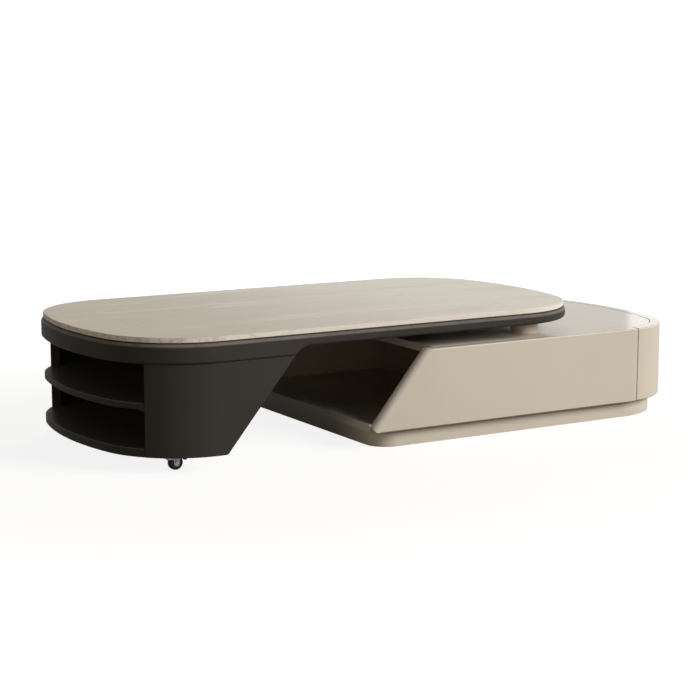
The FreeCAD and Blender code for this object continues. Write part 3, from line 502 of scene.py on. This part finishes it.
# x is from the swivel and z from the floor
forkShape = {
    "cheek": [(-13, 40.2, 0), (-13, 25.5, 5), (7, 25.5, 6), (7, 10, 6.9), (21, 10, 6.9), (21, 25.5, 4),
              (37.5, 25.5, 4.4), (37.5, 34.5, 4.4), (13, 34.5, 3), (13, 40.2, 0)],
    "cornerSteps": 8, "sheet": 1.85 * mm, "pinProud": 0.15 * mm, "crown": 38.0 * mm, "ease": 0.4 * mm,
    "easeSteps": 2,
}


def makeFork(side, shape):
    swivel = pivots[f"caster_swivel_{side}"]
    half = halfSize(f"brake_pin_{side}").y - shape["pinProud"]
    outer = swivel.y - half
    bm = pushOutline(shape["cheek"], Vector((swivel.x, outer, 0.0)), outer + shape["sheet"],
                     shape["cornerSteps"])
    bmesh.ops.bisect_plane(bm, geom=everything(bm), plane_co=(0.0, 0.0, shape["crown"]),
                           plane_no=(0.0, 0.0, 1.0))
    bmesh.ops.mirror(bm, geom=everything(bm), matrix=Matrix.Translation((0.0, -swivel.y, 0.0)), axis="Y",
                     merge_dist=0.0)
    # the crown joins the two cheeks
    inside = [face for face in bm.faces if face.calc_center_median().z > shape["crown"]
              and abs(abs(face.calc_center_median().y - swivel.y) - half + shape["sheet"]) < hair]
    bmesh.ops.delete(bm, geom=inside, context="FACES_ONLY")
    bmesh.ops.bridge_loops(bm, edges=[edge for edge in bm.edges if edge.is_boundary])
    bmesh.ops.recalc_face_normals(bm, faces=bm.faces)
    easeEdges(bm, shape)
    newPiece(f"pressed_fork_{side}", bm, "zinc_steel", f"caster_{side}", f"caster_fork_{side}")


# x and z are from the pin, and the ribs' places are in mm too
pedalShape = {
    "outline": [(-2.5, 3, 2.5), (5, 3, 3), (9, 1.8, 3), (22, 1.8, 0.8), (22, 0, 0.8), (9, 0, 2),
                (7.5, -8.7, 4.9), (-2.5, -8.7, 5)],
    "cornerSteps": 8, "treadStart": 12, "ribs": (10.5, 13, 15.5, 18, 20.5), "ribWide": 1.1,
    "ribHigh": 0.5 * mm, "ribDraft": 0.25 * mm, "ease": 0.35 * mm, "easeSteps": 2,
}


def makePedal(side, shape):
    pin = pivots[f"brake_{side}"]
    half = halfSize(f"brake_pedal_{side}").y
    bm = pushOutline(shape["outline"], Vector((pin.x, pin.y - half, pin.z)), pin.y + half,
                     shape["cornerSteps"])
    easeEdges(bm, shape)
    for place in shape["ribs"]:
        for edge in (place - shape["ribWide"] / 2, place + shape["ribWide"] / 2):
            bmesh.ops.bisect_plane(bm, geom=everything(bm), plane_co=(pin.x + edge * mm, 0.0, 0.0),
                                   plane_no=(1.0, 0.0, 0.0))
    middles = [face.calc_center_median() for face in bm.faces]
    top = max(middle.z for middle in middles if middle.x > pin.x + shape["treadStart"] * mm)
    for place in shape["ribs"]:
        rib = [face for face in bm.faces if abs(face.calc_center_median().z - top) < hair
               and abs(face.calc_center_median().x - pin.x - place * mm) < shape["ribWide"] * mm / 2]
        bmesh.ops.inset_region(bm, faces=rib, thickness=shape["ribDraft"], depth=shape["ribHigh"],
                               use_even_offset=True)
    newPiece(f"ribbed_pedal_{side}", bm, "black_plastic", f"pedal_{side}", f"brake_pedal_{side}")


screwShape = {
    "radius": 3.4 * mm, "high": 1.9 * mm, "round": 1.2 * mm, "roundSteps": 4, "slotWide": 0.9 * mm,
    "slotLong": 3.4 * mm, "slotDeep": 0.9 * mm, "slotDraft": 0.05 * mm, "sides": 32, "inset": 6.0 * mm,
}


# a cross-slot pan head under z = 0, for moving into place
def makeHead(shape):
    bm = bmesh.new()
    bmesh.ops.create_cone(bm, cap_ends=True, segments=shape["sides"], radius1=shape["radius"],
                          radius2=shape["radius"], depth=shape["high"])
    bmesh.ops.translate(bm, verts=bm.verts, vec=(0.0, 0.0, -shape["high"] / 2))
    lowest = -shape["high"] + hair
    bevelEdges(bm, edgesWhere(bm, lambda co: co.z < lowest), shape["round"], shape["roundSteps"])
    wide, long = shape["slotWide"] / 2, shape["slotLong"] / 2
    for axis in (Vector((1.0, 0.0, 0.0)), Vector((0.0, 1.0, 0.0))):
        for place in (-long, -wide, wide, long):
            crown = [face for face in bm.faces if face.calc_center_median().z < lowest]
            edges = {edge for face in crown for edge in face.edges}
            verts = {vert for face in crown for vert in face.verts}
            bmesh.ops.bisect_plane(bm, geom=list(verts) + list(edges) + crown, plane_co=axis * place,
                                   plane_no=axis)
    cross = []
    for face in bm.faces:
        place = face.calc_center_median()
        near, far = sorted((abs(place.x), abs(place.y)))
        if place.z < lowest and near < wide and far < long:
            cross.append(face)
    bmesh.ops.inset_region(bm, faces=cross, thickness=shape["slotDraft"], depth=-shape["slotDeep"],
                           use_even_offset=True)
    return bm


def makePlateScrews(shape):
    bm = bmesh.new()
    for side in sides:
        low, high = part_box(f"caster_plate_{side}")
        middle = (low + high) / 2
        reach = halfSize(f"caster_plate_{side}").x - shape["inset"]
        for x in (-reach, reach):
            for y in (-reach, reach):
                head = makeHead(shape)
                bmesh.ops.translate(head, verts=head.verts, vec=(middle.x + x, middle.y + y, low.z))
                mesh = bpy.data.meshes.new("head")
                head.to_mesh(mesh)
                head.free()
                bm.from_mesh(mesh)
                bpy.data.meshes.remove(mesh)
    newPiece("caster_screw_heads", bm, "zinc_steel", "table")


for side in sides:
    makeTyre(side, tyreShape)
    makeHub(side, hubShape)
    makeFork(side, forkShape)
    makePedal(side, pedalShape)
makePlateScrews(screwShape)
print("casters modelled")


# camera, floor and light

cameraView = {
    "place": (-2.274, -3.75785, 0.9022), "pitch": 0.1633, "yaw": 0.5371, "lens": 89.71, "sensor": 36.0,
}


def makeCamera(view):
    data = bpy.data.cameras.new("camera")
    data.lens = view["lens"]
    data.sensor_width = view["sensor"]
    camera = bpy.data.objects.new("camera", data)
    camera.location = view["place"]
    camera.rotation_euler = (pi / 2 - view["pitch"], 0.0, -view["yaw"])
    bpy.context.scene.collection.objects.link(camera)
    bpy.context.scene.camera = camera


floorLook = {
    "half": 30.0, "colour": (0.18, 0.17, 0.155, 1.0), "near": 0.9, "far": 2.6, "glow": 0.87, "mirrored": 0.5,
}


def seenDirectly(tree, share=1.0):
    path = addNode(tree, "LightPath").outputs
    mirrored = calc(tree, "MAXIMUM", path["Is Glossy Ray"], path["Is Transmission Ray"])
    return calc(tree, "MAXIMUM", path["Is Camera Ray"], calc(tree, "MULTIPLY", mirrored, share))


# a floor that takes the shadow and glows up to white further out, and is clear from below
def makeFloor(look):
    material = bpy.data.materials.new("pale floor")
    material.use_nodes = True
    tree = material.node_tree
    tree.nodes.clear()
    coords = objectCoords(tree)
    distance = addNode(tree, "VectorMath", {0: coords}, operation="LENGTH").outputs["Value"]
    glow = remap(tree, distance, look["near"], look["far"], look["glow"], 1.0)
    glow = calc(tree, "MULTIPLY", glow, seenDirectly(tree, look["mirrored"]))
    light = addNode(tree, "Emission", {"Strength": glow})
    pale = addNode(tree, "BsdfDiffuse", {"Color": look["colour"]})
    both = addNode(tree, "AddShader", {0: pale.outputs[0], 1: light.outputs[0]})
    clear = addNode(tree, "BsdfTransparent")
    below = addNode(tree, "NewGeometry").outputs["Backfacing"]
    shown = addNode(tree, "MixShader", {0: below, 1: both.outputs[0], 2: clear.outputs[0]})
    addNode(tree, "OutputMaterial", {"Surface": shown.outputs[0]})
    bm = bmesh.new()
    bmesh.ops.create_grid(bm, x_segments=1, y_segments=1, size=look["half"])
    mesh = bpy.data.meshes.new("floor")
    bm.to_mesh(mesh)
    bm.free()
    mesh.materials.append(material)
    floor = bpy.data.objects.new("floor", mesh)
    bpy.context.scene.collection.objects.link(floor)


# only the strip is seen in reflections, so that the top doesn't glare against the window
lampSettings = {
    "window": {"place": (5.88, -7.19, 4.58), "aim": (0.1, -0.3, 0.2), "size": (4.6, 4.6), "watts": 1270.0,
               "colour": (1.0, 1.0, 1.0), "mirrored": False},
    "rear": {"place": (2.7, 3.8, 2.1), "aim": (0.0, 0.2, 0.2), "size": (2.4, 1.2), "watts": 125.0,
             "colour": (1.0, 1.0, 1.0), "mirrored": False},
    "left": {"place": (-4.6, -1.8, 1.1), "aim": (-0.3, 0.0, 0.2), "size": (2.0, 1.6), "watts": 34.0,
             "colour": (1.0, 0.9, 0.78), "mirrored": False},
    "fill": {"place": (-2.1, -4.2, 0.6), "aim": (0.0, 0.0, 0.12), "size": (3.0, 1.1), "watts": 8.0,
             "colour": (1.0, 0.84, 0.66), "mirrored": False},
    "strip": {"place": (3.74, 2.88, 0.88), "aim": (0.91, -0.5, 0.23), "size": (0.7, 0.6), "watts": 1.35,
              "colour": (1.0, 1.0, 1.0), "mirrored": True},
}


def makeLamp(name, lamp):
    data = bpy.data.lights.new(name, "AREA")
    data.shape = "RECTANGLE"
    data.size, data.size_y = lamp["size"]
    data.energy = lamp["watts"]
    data.color = lamp["colour"]
    light = bpy.data.objects.new(name, data)
    light.location = lamp["place"]
    aim = Vector(lamp["aim"]) - light.location
    light.rotation_euler = aim.to_track_quat("-Z", "Y").to_euler()
    light.visible_camera = False
    light.visible_glossy = lamp["mirrored"]
    bpy.context.scene.collection.objects.link(light)


skyLook = {"colour": (1.0, 0.96, 0.9, 1.0), "ambient": 0.05, "backdrop": (1.0, 1.0, 1.0, 1.0)}


def makeSky(look):
    world = bpy.data.worlds.new("studio")
    world.use_nodes = True
    tree = world.node_tree
    tree.nodes.clear()
    soft = addNode(tree, "Background", {"Color": look["colour"], "Strength": look["ambient"]})
    white = addNode(tree, "Background", {"Color": look["backdrop"], "Strength": 1.0})
    both = addNode(tree, "MixShader", {0: seenDirectly(tree), 1: soft.outputs[0], 2: white.outputs[0]})
    addNode(tree, "OutputWorld", {"Surface": both.outputs[0]})
    bpy.context.scene.world = world


makeCamera(cameraView)
makeFloor(floorLook)
for name, lamp in lampSettings.items():
    makeLamp(name, lamp)
makeSky(skyLook)
bpy.context.scene.view_settings.view_transform = "Standard"
print("camera, floor and light set")
